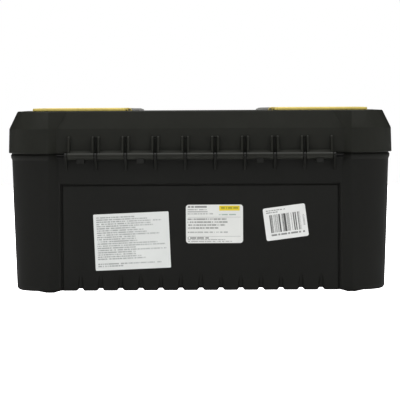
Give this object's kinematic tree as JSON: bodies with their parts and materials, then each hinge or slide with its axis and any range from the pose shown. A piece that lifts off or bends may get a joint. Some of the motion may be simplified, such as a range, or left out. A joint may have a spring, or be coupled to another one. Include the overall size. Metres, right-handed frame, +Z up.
{
  "type": "toolbox with tray",
  "caption": "Moulded plastic toolbox with a rear-hinged lid, organisers under hinged covers in its top, a folding handle, front latches and a lift-out tray.",
  "frame": {"origin": "on the ground, under the middle of the closed box's bounding box", "axes": "+Z up, +X along the box to the right as seen from its front, -Y towards the front with the latches, +Y towards the hinge"},
  "size_m": [0.406, 0.205, 0.1935],
  "materials": {
    "body_plastic": "fine-grained black polypropylene",
    "lid_plastic": "fine-grained black polypropylene",
    "latch_plastic": "smooth satin black",
    "organiser_plastic": "smooth yellow",
    "handle_plastic": "satin black",
    "grip_rubber": "soft matte",
    "tray_plastic": "fine-grained black polypropylene",
    "steel": "zinc-plated wire",
    "paper": "matte printed paper sticker"
  },
  "bodies": {
    "body": {"body": "body_plastic", "hinge_pin": "steel", "label_document": "paper", "label_rating": "paper", "label_barcode": "paper"},
    "lid": {"lid": "lid_plastic", "latch_pin_left": "steel", "latch_pin_right": "steel", "organiser_pin_left": "steel", "organiser_pin_right": "steel"},
    "handle": {"handle": "handle_plastic", "handle_grip": "grip_rubber"},
    "latch_left": {"latch_left": "latch_plastic"},
    "latch_right": {"latch_right": "latch_plastic"},
    "organiser_lid_left": {"organiser_lid_left": "organiser_plastic"},
    "organiser_lid_right": {"organiser_lid_right": "organiser_plastic"},
    "organiser_catch_left": {"organiser_catch_left": "latch_plastic"},
    "organiser_catch_right": {"organiser_catch_right": "latch_plastic"},
    "tray": {"tray": "tray_plastic", "tray_divider_left": "tray_plastic", "tray_divider_right": "tray_plastic"}
  },
  "joints": [
    {"name": "lid_hinge", "type": "hinge", "parent": "body", "child": "lid", "pos_m": [0, 0.0989, 0.1434], "axis": [-1, 0, 0], "range_deg": [0, 105]},
    {"name": "handle_fold", "type": "hinge", "parent": "lid", "child": "handle", "pos_m": [0, 0, 0.1815], "axis": [-1, 0, 0], "range_deg": [0, 90]},
    {"name": "tray_lift", "type": "slide", "parent": "body", "child": "tray", "axis": [0, 0, 1], "range_m": [0, 0.02]},
    {"name": "latch_left_swing", "type": "hinge", "parent": "lid", "child": "latch_left", "pos_m": [-0.105, -0.0965, 0.1645], "axis": [-1, 0, 0], "range_deg": [0, 110]},
    {"name": "organiser_left_hinge", "type": "hinge", "parent": "lid", "child": "organiser_lid_left", "pos_m": [-0.1815, 0, 0.1878], "axis": [0, -1, 0], "range_deg": [0, 100]},
    {"name": "organiser_catch_left_flip", "type": "hinge", "parent": "organiser_lid_left", "child": "organiser_catch_left", "pos_m": [-0.076, 0, 0.1911], "axis": [0, -1, 0], "range_deg": [0, 60]},
    {"name": "latch_right_swing", "type": "hinge", "parent": "lid", "child": "latch_right", "pos_m": [0.105, -0.0965, 0.1645], "axis": [-1, 0, 0], "range_deg": [0, 110]},
    {"name": "organiser_right_hinge", "type": "hinge", "parent": "lid", "child": "organiser_lid_right", "pos_m": [0.1815, 0, 0.1878], "axis": [0, 1, 0], "range_deg": [0, 100]},
    {"name": "organiser_catch_right_flip", "type": "hinge", "parent": "organiser_lid_right", "child": "organiser_catch_right", "pos_m": [0.076, 0, 0.1911], "axis": [0, 1, 0], "range_deg": [0, 60]}
  ]
}
